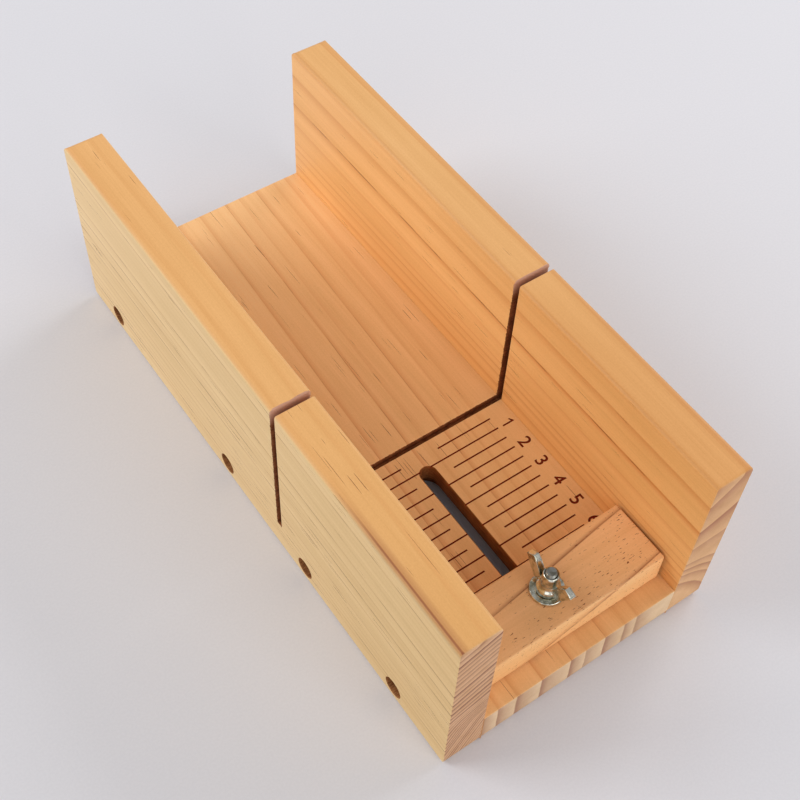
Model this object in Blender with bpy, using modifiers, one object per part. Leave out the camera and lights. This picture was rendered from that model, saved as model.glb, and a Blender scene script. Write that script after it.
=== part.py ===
"""Pine soap-cutting box with an adjustable stop.

A three-sided wooden trough holds a loaf of soap. A blade runs down the kerf that crosses both
walls, and a stop block, clamped in a T-slot by a bolt and wing nut, sets the slice thickness
against an engraved centimetre scale.

Metres. +Z is up, +Y runs along the trough from the stop end to the open end, and the origin is
under the middle of the box, on the surface it stands on.
"""

import math

import bmesh
import bpy
from mathutils import Matrix, Vector

# ---- Trough ----
LENGTH = 0.2416
WALL_HEIGHT = 0.0812
WALL_THICKNESS = 0.0153
BED_WIDTH = 0.0820  # clear width between the two walls
BASE_THICKNESS = 0.0166
GAP = 0.0003  # clearance left between pieces that touch

EDGE_EASE = 0.0011  # eased long edges of every board
NEAR_LOW_ROUND = 0.0028  # rounding of the lower corner at the stop end
FAR_LOW_ROUND = 0.0060  # rounding of the lower corner at the open end
FAR_HIGH_ROUND = 0.0030
NEAR_HIGH_ROUND = 0.0012

# ---- Kerf that guides the blade ----
KERF_FROM_NEAR_END = 0.0978
KERF_WIDTH = 0.0024
KERF_DEPTH_IN_BASE = 0.0026

# ---- Engraved scale, counted from the kerf ----
SCALE_STEP = 0.0050
SCALE_LINES = 12  # 5 mm apart, so 6 cm
SCALE_RIGHT_END = 0.0320  # X where the lines to the right of the slot end
SCALE_LEFT_END = -0.0345
SHORT_RIGHT_START = 0.0079  # inner ends of the half-centimetre lines on each side of the slot
SHORT_LEFT_START = -0.0085
LINE_WIDTH = 0.0007
ENGRAVING_DEPTH = 0.0004
DIGIT_HEIGHT = 0.0048
DIGIT_BASELINE = 0.0342  # X of the feet of the digits
DIGIT_PAST_LINE = 0.0004  # how far a digit's middle stands past its line
DIGIT_SHARE_OF_FONT = 0.69  # a digit is this tall when the font's size is 1
DIGIT_STROKE = 0.0007

# ---- T-slot in the base ----
SLOT_X = -0.0013  # the slot runs slightly left of the middle
SLOT_WIDTH = 0.0063
SLOT_FAR_FROM_KERF = 0.0090
SLOT_NEAR_FROM_KERF = 0.0840
SLOT_LIP = 0.0073  # wood left above the wide recess
RECESS_WIDTH = 0.0138
RECESS_OVERRUN = 0.0045  # how far the recess runs past each end of the slot

# ---- Stop block and its clamp (M4 hardware) ----
BLOCK_WIDTH = 0.0796
BLOCK_DEPTH = 0.0250
BLOCK_HEIGHT = 0.0137
BLOCK_EASE = 0.0009
STOP_FROM_KERF = 0.0776  # bolt axis to kerf, at rest
BOLT_RADIUS = 0.0020
BOLT_HOLE_RADIUS = BOLT_RADIUS + GAP
BOLT_END_CHAMFER = 0.0004
HEAD_ACROSS_FLATS = 0.0070
HEAD_HEIGHT = 0.0028
WASHER_RADIUS = 0.0062
WASHER_THICKNESS = 0.0010
WASHER_CHAMFER = 0.0002
NUT_HEIGHT = 0.0098
NUT_TURN_AT_REST = math.radians(2)
NUT_HUB = (  # (radius, height) of the turned middle, from its top rim down to its flange
    (0.0025, NUT_HEIGHT), (0.0029, 0.0091), (0.0031, 0.0046), (0.0038, 0.0024), (0.0042, 0.0016),
    (0.0042, 0.0),
)
NUT_CORE_RADIUS = 0.0005  # stock left for the thread cutter to open
WING_OUTLINE = (  # (reach, height) of one wing seen from the side: inner edge, tip, outer edge
    (0.0010, 0.0030), (0.0026, 0.0040), (0.0038, 0.0058), (0.0056, 0.0088), (0.0073, 0.0108),
    (0.0080, 0.0111), (0.0104, 0.0096), (0.0107, 0.0089),
    (0.0086, 0.0055), (0.0068, 0.0028), (0.0050, 0.0013), (0.0030, 0.0008), (0.0010, 0.0008),
)
WING_THICKNESS = 0.0024
BOLT_PROUD = 0.0012  # how far the bolt stands out of the nut

# ---- Wood screws that hold the walls to the base ----
SCREWS_FROM_KERF = (-0.0690, -0.0150, 0.0378, 0.1225)
SCREW_HEIGHT = 0.0067
COUNTERBORE_RADIUS = 0.0040
COUNTERBORE_DEPTH = 0.0080
SCREW_HEAD_RADIUS = 0.0036
SCREW_HEAD_HEIGHT = 0.0024
SCREW_SHANK_RADIUS = 0.0017
SCREW_LENGTH = 0.0300  # under the head, point included
SCREW_POINT = 0.0050
SCREW_RIM_SHARE = 0.45  # share of the head's height taken by its upright rim
SCREW_DOME_ANGLES = (35, 60, 90)  # degrees from the top of the dome

# ---- Levels and places worked out from the sizes above ----
NEAR_END = -LENGTH / 2
FAR_END = LENGTH / 2
OUTER_X = BED_WIDTH / 2 + WALL_THICKNESS
KERF_NEAR = NEAR_END + KERF_FROM_NEAR_END
STOP_Y = KERF_NEAR - STOP_FROM_KERF
RECESS_CEILING = BASE_THICKNESS - SLOT_LIP
BLOCK_BOTTOM = BASE_THICKNESS + GAP
BLOCK_TOP = BLOCK_BOTTOM + BLOCK_HEIGHT
UPPER_WASHER_BOTTOM = BLOCK_TOP + GAP
NUT_BOTTOM = UPPER_WASHER_BOTTOM + WASHER_THICKNESS + GAP
BOLT_TOP = NUT_BOTTOM + NUT_HEIGHT + BOLT_PROUD
LOWER_WASHER_BOTTOM = RECESS_CEILING - GAP - WASHER_THICKNESS
HEAD_TOP = LOWER_WASHER_BOTTOM - GAP

CUT_MARGIN = 0.002  # how far a cutter runs past the face it opens
ROUND_STEPS = 24
SCREW_STEPS = 16
ARC_STEPS = 12  # steps in the half-round end of a slot
SHARP_ANGLE = math.radians(35)
SAME_PLACE = 1e-6
MERGE = 0.00001


def clear_scene():
    for obj in list(bpy.data.objects):
        bpy.data.objects.remove(obj, do_unlink=True)


def make_collection(name):
    collection = bpy.data.collections.new(name)
    bpy.context.scene.collection.children.link(collection)
    return collection


def make_material(name, colour, roughness, metallic=0.0):
    material = bpy.data.materials.new(name)
    material.use_nodes = True
    shader = material.node_tree.nodes["Principled BSDF"]
    shader.inputs["Base Color"].default_value = (*colour, 1.0)
    shader.inputs["Roughness"].default_value = roughness
    shader.inputs["Metallic"].default_value = metallic
    return material


def new_object(name, mesh, collection, material=None):
    obj = bpy.data.objects.new(name, mesh)
    collection.objects.link(obj)
    if material:
        mesh.materials.clear()
        mesh.materials.append(material)
    return obj


def finish_mesh(bm, name):
    mesh = bpy.data.meshes.new(name)
    bm.to_mesh(mesh)
    bm.free()
    return mesh


def box_mesh(name, low, high):
    low, high = Vector(low), Vector(high)
    bm = bmesh.new()
    place = Matrix.Translation((low + high) / 2) @ Matrix.Diagonal((*(high - low), 1.0))
    bmesh.ops.create_cube(bm, size=1.0, matrix=place)
    return finish_mesh(bm, name)


def board_mesh(name, low, high, end_rounds):
    """A board whose corners along X are rounded: end_rounds maps (Y side, Z side) to a radius."""
    low, high = Vector(low), Vector(high)
    bm = bmesh.new()
    place = Matrix.Translation((low + high) / 2) @ Matrix.Diagonal((*(high - low), 1.0))
    bmesh.ops.create_cube(bm, size=1.0, matrix=place)
    for (side_y, side_z), radius in end_rounds.items():
        corner_y = high.y if side_y > 0 else low.y
        corner_z = high.z if side_z > 0 else low.z
        edges = [
            e for e in bm.edges
            if all(
                abs(v.co.y - corner_y) < SAME_PLACE and abs(v.co.z - corner_z) < SAME_PLACE
                for v in e.verts
            )
        ]
        bmesh.ops.bevel(
            bm, geom=edges, offset=radius, segments=4, profile=0.5, affect="EDGES", clamp_overlap=True
        )
    return finish_mesh(bm, name)


def turned_mesh(name, profile, steps=ROUND_STEPS):
    """A solid turned about Z from (radius, height) points, listed from top to bottom."""
    bm = bmesh.new()
    points = [bm.verts.new((radius, 0.0, height)) for radius, height in profile]
    for upper, lower in zip(points, points[1:]):
        bm.edges.new((upper, lower))
    if profile[0][0] > 0 and profile[-1][0] > 0:
        bm.edges.new((points[-1], points[0]))
    sketch = bpy.data.objects.new(name + "_profile", finish_mesh(bm, name + "_profile"))
    bpy.context.scene.collection.objects.link(sketch)
    screw = sketch.modifiers.new("Turn", "SCREW")
    screw.steps = screw.render_steps = steps
    screw.use_merge_vertices = True
    screw.merge_threshold = MERGE
    screw.use_normal_calculate = True
    mesh = bpy.data.meshes.new_from_object(
        sketch.evaluated_get(bpy.context.evaluated_depsgraph_get())
    )
    mesh.name = name
    bpy.data.objects.remove(sketch, do_unlink=True)
    orient_outwards(mesh)
    return mesh


def outline_mesh(name, points, thickness):
    """A closed outline of (X, Y) points made thick along Z, half of it on each side."""
    curve = bpy.data.curves.new(name, "CURVE")
    curve.dimensions = "2D"
    curve.fill_mode = "BOTH"
    curve.extrude = thickness / 2
    spline = curve.splines.new("POLY")
    spline.points.add(len(points) - 1)
    for spline_point, (x, y) in zip(spline.points, points):
        spline_point.co = (x, y, 0.0, 1.0)
    spline.use_cyclic_u = True
    sketch = bpy.data.objects.new(name + "_outline", curve)
    bpy.context.scene.collection.objects.link(sketch)
    mesh = bpy.data.meshes.new_from_object(
        sketch.evaluated_get(bpy.context.evaluated_depsgraph_get())
    )
    bpy.data.objects.remove(sketch, do_unlink=True)
    orient_outwards(mesh)
    return mesh


def orient_outwards(mesh):
    bm = bmesh.new()
    bm.from_mesh(mesh)
    bmesh.ops.remove_doubles(bm, verts=bm.verts, dist=MERGE)
    bmesh.ops.recalc_face_normals(bm, faces=bm.faces)
    bm.to_mesh(mesh)
    bm.free()


def join_meshes(name, meshes):
    bm = bmesh.new()
    for mesh in meshes:
        bm.from_mesh(mesh)
    return finish_mesh(bm, name)


def make_cutter(name, mesh, cutters):
    cutter = new_object(name, mesh, cutters)
    cutter.hide_render = True
    cutter.display_type = "WIRE"
    return cutter


def add_boolean(obj, cutter, operation="DIFFERENCE"):
    modifier = obj.modifiers.new(cutter.name, "BOOLEAN")
    modifier.operation = operation
    modifier.object = cutter
    modifier.solver = "EXACT"


def ease_edges(obj, width, segments=2):
    bevel = obj.modifiers.new("Eased edges", "BEVEL")
    bevel.width = width
    bevel.segments = segments
    bevel.limit_method = "ANGLE"
    bevel.angle_limit = math.radians(50)


def shade_round(obj):
    obj.data.shade_smooth()
    obj.data.set_sharp_from_angle(angle=SHARP_ANGLE)


def cylinder_along_x(name, x_from, x_to, y, z, radius):
    bm = bmesh.new()
    place = Matrix.Translation(((x_from + x_to) / 2, y, z)) @ Matrix.Rotation(math.pi / 2, 4, "Y")
    bmesh.ops.create_cone(
        bm, cap_ends=True, segments=ROUND_STEPS, radius1=radius, radius2=radius,
        depth=abs(x_to - x_from), matrix=place,
    )
    return finish_mesh(bm, name)


def stadium_mesh(name, y_near, y_far, half_width, z_low, z_high):
    """A slot-shaped cutter: straight sides with a half-round at each end."""
    arc = [math.pi * step / ARC_STEPS for step in range(ARC_STEPS + 1)]
    far = [(half_width * math.cos(a), y_far - half_width + half_width * math.sin(a)) for a in arc]
    near = [(-half_width * math.cos(a), y_near + half_width - half_width * math.sin(a)) for a in arc]
    bm = bmesh.new()
    ring = [bm.verts.new((SLOT_X + x, y, z_low)) for x, y in far + near]
    floor = bm.faces.new(ring)
    raised = bmesh.ops.extrude_face_region(bm, geom=[floor])["geom"]
    lift = [v for v in raised if isinstance(v, bmesh.types.BMVert)]
    bmesh.ops.translate(bm, verts=lift, vec=(0, 0, z_high - z_low))
    bmesh.ops.recalc_face_normals(bm, faces=bm.faces)
    return finish_mesh(bm, name)


def screw_row(name, x_from, x_to, radius):
    """One cylinder along X at every wood screw's place."""
    holes = [
        cylinder_along_x(name, x_from, x_to, KERF_NEAR + from_kerf, SCREW_HEIGHT, radius)
        for from_kerf in SCREWS_FROM_KERF
    ]
    return join_meshes(name, holes)


def make_kerf_cutter(cutters):
    low = (-OUTER_X - CUT_MARGIN, KERF_NEAR, BASE_THICKNESS - KERF_DEPTH_IN_BASE)
    high = (OUTER_X + CUT_MARGIN, KERF_NEAR + KERF_WIDTH, WALL_HEIGHT + CUT_MARGIN)
    return make_cutter("kerf_cutter", box_mesh("kerf_cutter", low, high), cutters)


def make_wall(name, side, kerf, parts, cutters, material):
    inner, outer = side * BED_WIDTH / 2, side * OUTER_X
    low = (min(inner, outer), NEAR_END, 0.0)
    high = (max(inner, outer), FAR_END, WALL_HEIGHT)
    rounds = {
        (-1, -1): NEAR_LOW_ROUND, (1, -1): FAR_LOW_ROUND,
        (1, 1): FAR_HIGH_ROUND, (-1, 1): NEAR_HIGH_ROUND,
    }
    wall = new_object(name, board_mesh(name, low, high, rounds), parts, material)
    ease_edges(wall, EDGE_EASE)
    add_boolean(wall, kerf)
    bore_floor = outer - side * COUNTERBORE_DEPTH
    margin = side * CUT_MARGIN
    bores = screw_row(name + "_counterbores", outer + margin, bore_floor, COUNTERBORE_RADIUS)
    holes = screw_row(
        name + "_screw_holes", bore_floor + margin, inner - margin, SCREW_SHANK_RADIUS + GAP
    )
    add_boolean(wall, make_cutter(name + "_counterbores", bores, cutters))
    add_boolean(wall, make_cutter(name + "_screw_holes", holes, cutters))


def make_scale_cutter(cutters):
    """Grooves of the scale lines: whole centimetres start at the slot, halves start further out."""
    low_z = BASE_THICKNESS - ENGRAVING_DEPTH
    high_z = BASE_THICKNESS + CUT_MARGIN
    grooves = []
    for number in range(1, SCALE_LINES + 1):
        y = KERF_NEAR - number * SCALE_STEP
        whole = number % 2 == 0
        right_start = SLOT_X if whole else SHORT_RIGHT_START
        left_start = SLOT_X - LINE_WIDTH if whole else SHORT_LEFT_START
        spans = ((right_start, SCALE_RIGHT_END), (SCALE_LEFT_END, left_start))
        for x_low, x_high in spans:
            low = (x_low, y - LINE_WIDTH / 2, low_z)
            high = (x_high, y + LINE_WIDTH / 2, high_z)
            grooves.append(box_mesh("groove", low, high))
    return make_cutter("scale_cutter", join_meshes("scale_cutter", grooves), cutters)


def font_digit(number):
    """A digit of the plain built-in font, lying on the XY plane with its feet at Y = 0."""
    curve = bpy.data.curves.new(f"digit_{number}", "FONT")
    curve.body = str(number)
    curve.align_x = "CENTER"
    curve.size = DIGIT_HEIGHT / DIGIT_SHARE_OF_FONT
    curve.extrude = ENGRAVING_DEPTH
    curve.resolution_u = 2
    sketch = bpy.data.objects.new(f"digit_{number}", curve)
    bpy.context.scene.collection.objects.link(sketch)
    mesh = bpy.data.meshes.new_from_object(
        sketch.evaluated_get(bpy.context.evaluated_depsgraph_get())
    )
    bpy.data.objects.remove(sketch, do_unlink=True)
    return mesh


def flagged_one():
    """The digit one as an upright stroke with a short flag on its left."""
    right = DIGIT_STROKE / 2
    flag_reach = 0.28 * DIGIT_HEIGHT
    flag_drop = 0.20 * DIGIT_HEIGHT
    outline = (
        (-right, 0.0), (right, 0.0), (right, DIGIT_HEIGHT), (0.0, DIGIT_HEIGHT),
        (-flag_reach, DIGIT_HEIGHT - flag_drop), (-flag_reach, DIGIT_HEIGHT - flag_drop - DIGIT_STROKE),
        (-right, DIGIT_HEIGHT - DIGIT_STROKE * 1.6),
    )
    return outline_mesh("digit_1", outline, 2 * ENGRAVING_DEPTH)


def digit_mesh(number):
    """One engraved digit beside its centimetre line, feet towards the slot."""
    mesh = flagged_one() if number == 1 else font_digit(number)
    y = KERF_NEAR - 2 * number * SCALE_STEP - DIGIT_PAST_LINE
    place = Matrix.Translation((DIGIT_BASELINE, y, BASE_THICKNESS))
    mesh.transform(place @ Matrix.Rotation(-math.pi / 2, 4, "Z"))
    orient_outwards(mesh)
    return mesh


def make_base(kerf, parts, cutters, material):
    half = BED_WIDTH / 2 - GAP
    rounds = {(-1, -1): NEAR_LOW_ROUND, (1, -1): FAR_LOW_ROUND}
    mesh = board_mesh("base_board", (-half, NEAR_END, 0.0), (half, FAR_END, BASE_THICKNESS), rounds)
    base = new_object("base_board", mesh, parts, material)
    slot = stadium_mesh(
        "slot_cutter", KERF_NEAR - SLOT_NEAR_FROM_KERF, KERF_NEAR - SLOT_FAR_FROM_KERF,
        SLOT_WIDTH / 2, -CUT_MARGIN, BASE_THICKNESS + CUT_MARGIN,
    )
    recess = stadium_mesh(
        "recess_cutter", KERF_NEAR - SLOT_NEAR_FROM_KERF - RECESS_OVERRUN,
        KERF_NEAR - SLOT_FAR_FROM_KERF + RECESS_OVERRUN, RECESS_WIDTH / 2, -CUT_MARGIN, RECESS_CEILING,
    )
    add_boolean(base, kerf)
    add_boolean(base, make_scale_cutter(cutters))
    digits = join_meshes("digit_cutter", [digit_mesh(n) for n in range(1, SCALE_LINES // 2 + 1)])
    add_boolean(base, make_cutter("digit_cutter", digits, cutters))
    add_boolean(base, make_cutter("slot_cutter", slot, cutters))
    add_boolean(base, make_cutter("recess_cutter", recess, cutters))
    for side, word in ((-1, "left"), (1, "right")):
        tip = side * (OUTER_X - COUNTERBORE_DEPTH - SCREW_LENGTH - CUT_MARGIN)
        pilots = screw_row(
            word + "_pilots", side * (half + CUT_MARGIN), tip, SCREW_SHANK_RADIUS + GAP
        )
        add_boolean(base, make_cutter(word + "_pilots", pilots, cutters))


def screw_mesh():
    """A pan-head wood screw along Z: point down, underside of the head at 0."""
    rim = SCREW_HEAD_HEIGHT * SCREW_RIM_SHARE
    head = [(0.0, SCREW_HEAD_HEIGHT)]
    for degrees in SCREW_DOME_ANGLES:
        angle = math.radians(degrees)
        dome = (SCREW_HEAD_HEIGHT - rim) * math.cos(angle)
        head.append((SCREW_HEAD_RADIUS * math.sin(angle), rim + dome))
    shank = [
        (SCREW_HEAD_RADIUS, 0.0), (SCREW_SHANK_RADIUS, 0.0),
        (SCREW_SHANK_RADIUS, SCREW_POINT - SCREW_LENGTH), (0.0, -SCREW_LENGTH),
    ]
    return turned_mesh("wood_screw", head + shank, SCREW_STEPS)


def make_screws(parts, material):
    mesh = screw_mesh()
    mesh.materials.append(material)
    seat = OUTER_X - COUNTERBORE_DEPTH + GAP
    for side, word in ((-1, "left"), (1, "right")):
        for number, from_kerf in enumerate(SCREWS_FROM_KERF, 1):
            screw = new_object(f"{word}_screw_{number}", mesh, parts)
            screw.location = (side * seat, KERF_NEAR + from_kerf, SCREW_HEIGHT)
            screw.rotation_euler = (0.0, side * math.pi / 2, 0.0)
    shade_round(screw)


def make_empty(name, location, parent, parts):
    empty = bpy.data.objects.new(name, None)
    parts.objects.link(empty)
    empty.empty_display_size = 0.01
    empty.parent = parent
    empty.location = location
    return empty


def bored(name, bottom, top):
    """A plain round cutter of the bolt's clearance, running past both heights."""
    profile = [
        (0.0, top + CUT_MARGIN), (BOLT_HOLE_RADIUS, top + CUT_MARGIN),
        (BOLT_HOLE_RADIUS, bottom - CUT_MARGIN), (0.0, bottom - CUT_MARGIN),
    ]
    return turned_mesh(name, profile)


def make_stop_block(swivel, parts, cutters, material):
    low = (-BLOCK_WIDTH / 2 - SLOT_X, -BLOCK_DEPTH / 2, BLOCK_BOTTOM)
    high = (BLOCK_WIDTH / 2 - SLOT_X, BLOCK_DEPTH / 2, BLOCK_TOP)
    block = new_object("stop_block", box_mesh("stop_block", low, high), parts, material)
    block.parent = swivel
    ease_edges(block, BLOCK_EASE)
    bore = make_cutter("bolt_hole_cutter", bored("bolt_hole_cutter", BLOCK_BOTTOM, BLOCK_TOP), cutters)
    bore.parent = swivel
    add_boolean(block, bore)


def make_washer(name, bottom, parent, parts, material):
    top = bottom + WASHER_THICKNESS
    ring = [
        (BOLT_HOLE_RADIUS, top), (WASHER_RADIUS - WASHER_CHAMFER, top),
        (WASHER_RADIUS, top - WASHER_CHAMFER), (WASHER_RADIUS, bottom), (BOLT_HOLE_RADIUS, bottom),
    ]
    washer = new_object(name, turned_mesh(name, ring), parts, material)
    washer.parent = parent
    shade_round(washer)


def make_bolt(axis, parts, cutters, material):
    """A hex head with the shank joined on, standing up through the slot."""
    bm = bmesh.new()
    corner_radius = HEAD_ACROSS_FLATS / math.sqrt(3)
    bmesh.ops.create_cone(
        bm, cap_ends=True, segments=6, radius1=corner_radius, radius2=corner_radius,
        depth=HEAD_HEIGHT, matrix=Matrix.Translation((0, 0, HEAD_TOP - HEAD_HEIGHT / 2)),
    )
    bolt = new_object("stop_bolt", finish_mesh(bm, "stop_bolt"), parts, material)
    bolt.parent = axis
    foot = HEAD_TOP - HEAD_HEIGHT / 2
    profile = [
        (0.0, BOLT_TOP), (BOLT_RADIUS - BOLT_END_CHAMFER, BOLT_TOP),
        (BOLT_RADIUS, BOLT_TOP - BOLT_END_CHAMFER), (BOLT_RADIUS, foot), (0.0, foot),
    ]
    shank = make_cutter("bolt_shank", turned_mesh("bolt_shank", profile), cutters)
    shank.parent = axis
    add_boolean(bolt, shank, "UNION")
    shade_round(bolt)


def make_wing_nut(axis, parts, cutters, material):
    stock = [*NUT_HUB, (NUT_CORE_RADIUS, 0.0), (NUT_CORE_RADIUS, NUT_HEIGHT)]
    nut = new_object("wing_nut", turned_mesh("wing_nut", stock), parts, material)
    nut.parent = axis
    nut.location = (0.0, 0.0, NUT_BOTTOM)
    nut.rotation_euler = (0.0, 0.0, NUT_TURN_AT_REST)
    upright = Matrix(((0, 0, 1, 0), (1, 0, 0, 0), (0, 1, 0, 0), (0, 0, 0, 1)))
    for side, word in ((1, "far"), (-1, "near")):
        outline = [(side * reach, height) for reach, height in WING_OUTLINE]
        mesh = outline_mesh(f"{word}_wing", outline, WING_THICKNESS)
        mesh.transform(upright)
        wing = make_cutter(f"{word}_wing", mesh, cutters)
        wing.parent = nut
        add_boolean(nut, wing, "UNION")
    thread = make_cutter("thread_cutter", bored("thread_cutter", 0.0, NUT_HEIGHT), cutters)
    thread.parent = nut
    add_boolean(nut, thread)
    shade_round(nut)


def make_clamp(parts, cutters, materials):
    """The block, its bolt and its wing nut ride along the slot on one carriage."""
    carriage = make_empty("stop_slide_axis", (SLOT_X, STOP_Y, 0.0), None, parts)
    swivel = make_empty("stop_swivel_axis", (0.0, 0.0, 0.0), carriage, parts)
    nut_axis = make_empty("nut_turn_axis", (0.0, 0.0, 0.0), carriage, parts)
    bolt_axis = make_empty("bolt_drop_axis", (0.0, 0.0, 0.0), carriage, parts)
    make_stop_block(swivel, parts, cutters, materials["block"])
    make_washer("upper_washer", UPPER_WASHER_BOTTOM, carriage, parts, materials["washer"])
    make_washer("lower_washer", LOWER_WASHER_BOTTOM, bolt_axis, parts, materials["washer"])
    make_bolt(bolt_axis, parts, cutters, materials["bolt"])
    make_wing_nut(nut_axis, parts, cutters, materials["nut"])


def main():
    clear_scene()
    parts = make_collection("soap_cutting_box")
    cutters = make_collection("cutters")
    materials = {
        "wall": make_material("pale_pine", (0.74, 0.50, 0.24), 0.45),
        "base": make_material("amber_pine", (0.62, 0.32, 0.12), 0.42),
        "block": make_material("pink_pine", (0.60, 0.32, 0.15), 0.45),
        "screw": make_material("screw_steel", (0.45, 0.42, 0.38), 0.35, 1.0),
        "washer": make_material("zinc_washer", (0.70, 0.71, 0.70), 0.25, 1.0),
        "bolt": make_material("zinc_bolt", (0.60, 0.61, 0.60), 0.30, 1.0),
        "nut": make_material("zinc_nut", (0.75, 0.75, 0.72), 0.22, 1.0),
    }
    kerf = make_kerf_cutter(cutters)
    make_base(kerf, parts, cutters, materials["base"])
    make_wall("left_wall", -1, kerf, parts, cutters, materials["wall"])
    make_wall("right_wall", 1, kerf, parts, cutters, materials["wall"])
    make_screws(parts, materials["screw"])
    make_clamp(parts, cutters, materials)


main()
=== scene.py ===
"""Looks of the pine soap-cutting box: boards, engraving, clamp hardware, materials, light and camera.

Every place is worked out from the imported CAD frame. Metres, +Z up, +Y along the trough.
"""

import math

import bmesh
import bpy
from mathutils import Matrix, Vector, noise


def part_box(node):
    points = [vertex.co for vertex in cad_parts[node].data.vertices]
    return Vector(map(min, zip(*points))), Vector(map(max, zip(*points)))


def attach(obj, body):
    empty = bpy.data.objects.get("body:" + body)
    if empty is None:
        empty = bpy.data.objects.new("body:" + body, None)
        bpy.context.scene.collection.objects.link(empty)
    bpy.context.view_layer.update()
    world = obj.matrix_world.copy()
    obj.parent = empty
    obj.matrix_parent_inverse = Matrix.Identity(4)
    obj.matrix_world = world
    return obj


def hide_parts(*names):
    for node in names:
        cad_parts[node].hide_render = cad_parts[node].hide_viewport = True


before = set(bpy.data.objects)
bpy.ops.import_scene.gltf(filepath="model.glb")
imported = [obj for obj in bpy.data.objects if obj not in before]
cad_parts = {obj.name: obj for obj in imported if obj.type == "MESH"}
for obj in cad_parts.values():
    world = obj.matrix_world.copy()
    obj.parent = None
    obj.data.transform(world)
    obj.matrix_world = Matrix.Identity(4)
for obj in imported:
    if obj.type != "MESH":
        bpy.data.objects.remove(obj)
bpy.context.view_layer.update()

MM = 0.001

# ---- Boards ----
WALL_EASE = 1.5 * MM  # rounding of the long edges of the walls
WALL_END_EASE = 0.4 * MM
NEAR_LOW_ROUND = 2.8 * MM
FAR_LOW_ROUND = 6.0 * MM
FAR_HIGH_ROUND = 3.0 * MM
NEAR_HIGH_ROUND = 1.4 * MM
BED_EASE = 0.5 * MM
BED_FAR_EASE = 0.8 * MM
BED_SIDE_EASE = 0.08 * MM
BED_SIDE_GAP = 0.06 * MM
BLOCK_EASE = 0.8 * MM

# ---- Kerf ----
KERF_FROM_NEAR_END = 97.8 * MM
KERF_WIDTH = 2.4 * MM
KERF_DEPTH_IN_BASE = 2.6 * MM
KERF_FLARE = 0.30 * MM  # torn, rounded edge where the saw left the wood
KERF_FLARE_DEPTH = 0.30 * MM
KERF_RAGGED = 0.10 * MM
KERF_RAGGED_DEPTH = 0.8 * MM
KERF_TEAR_LENGTH = 0.55 * MM
KERF_SPLINTER_LENGTH = 0.23 * MM
NEAR_FACE = (0.0, 0.12 * MM, 0.3 * MM, 0.6 * MM)  # depths where a torn edge needs close vertices

# ---- Scale ----
SCALE_STEP = 5.0 * MM
SCALE_LINES = 12
SCALE_RIGHT_END = 32.0 * MM
SCALE_LEFT_END = -34.5 * MM
SHORT_RIGHT_START = 7.9 * MM
SHORT_LEFT_START = -8.5 * MM
LINE_WIDTH = 0.62 * MM
ENGRAVING_DEPTH = 0.40 * MM
GROOVE_FLOOR = 0.6  # width of a line's floor, as a share of LINE_WIDTH
GROOVE_MOUTH = 1.4  # and of the cutter's top, as far above the face as the floor is below it
DIGIT_HEIGHT = 5.0 * MM
DIGIT_BASELINE = 34.1 * MM
DIGIT_PAST_LINE = 0.25 * MM
DIGIT_SHARE_OF_FONT = 0.69  # a digit is this tall when the font's size is 1
DIGIT_SWELL = 0.10 * MM  # thickens the font's strokes on every side
DIGIT_STROKE = 0.7 * MM

# ---- T-slot ----
SLOT_X = -1.3 * MM
SLOT_WIDTH = 6.3 * MM
SLOT_FAR_FROM_KERF = 9.0 * MM
SLOT_NEAR_FROM_KERF = 84.0 * MM
SLOT_LIP = 7.3 * MM
RECESS_WIDTH = 13.8 * MM
RECESS_OVERRUN = 4.5 * MM
SLOT_EASE = 0.35 * MM

# ---- Wood screws and their holes ----
SCREWS_PER_SIDE = 4
SHANK_RADIUS = 1.7 * MM
SHANK_CLEARANCE = 0.3 * MM
SCREW_LENGTH = 30.0 * MM  # under the head
SCREW_POINT = 5.0 * MM
SCREW_PITCH = 1.5 * MM
SCREW_THREAD_DEPTH = 0.42 * MM
SCREW_HEAD_RADIUS = 3.6  # in millimetres, like all of the head's profile
SCREW_HEAD_HEIGHT = 2.4
CROSS_RECESS_DEPTH = 1.5 * MM
COUNTERBORE_RADIUS = 4.0 * MM
COUNTERBORE_DEPTH = 8.0 * MM
BORE_CHAMFER = 0.25 * MM
PILOT_POINT = 0.1  # the tapered end of a pilot hole, as a share of the screw's half length

# ---- Clamp: bolt, washers and wing nut ----
BOLT_RADIUS = 2.0 * MM
HOLE_CLEARANCE = 0.3 * MM
THREAD_PITCH = 0.7 * MM
THREAD_DEPTH = 0.40 * MM
BOLT_END_CHAMFER = 0.35 * MM
HEAD_HEIGHT = 2.8 * MM
HEAD_ACROSS_FLATS = 7.0 * MM
NUT_HEIGHT = 9.8  # in millimetres, like the two outlines below
NUT_HUB = [  # (radius, height)
    (0.0, NUT_HEIGHT), (2.35, NUT_HEIGHT), (2.75, 9.55), (2.9, 9.0), (3.0, 4.4), (3.3, 3.2), (4.1, 2.4),
    (4.2, 1.7), (4.2, 0.15), (4.0, 0.0), (0.0, 0.0),
]
NUT_BORE = 2.05 * MM
NUT_BORE_CHAMFER = 0.35 * MM
NUT_TURN_AT_REST = math.radians(2)
WING_THICKNESS = 2.7 * MM
WING_OUTLINE = [  # (distance from the axis, height)
    (1.0, 2.6), (2.6, 3.8), (3.8, 5.8), (5.6, 8.8), (7.2, 10.7), (7.9, 11.05),
    (10.35, 9.6), (10.6, 8.9), (8.6, 5.5), (6.8, 2.8), (5.0, 1.3), (3.0, 0.8), (1.0, 0.8),
]
CAST_VOXEL = 0.13 * MM

CUT_MARGIN = 2.0 * MM  # how far a cutter stands past the face it cuts
SAME_PLACE = 1e-6  # vertices closer than this are one


# ==== Mesh helpers ====

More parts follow.
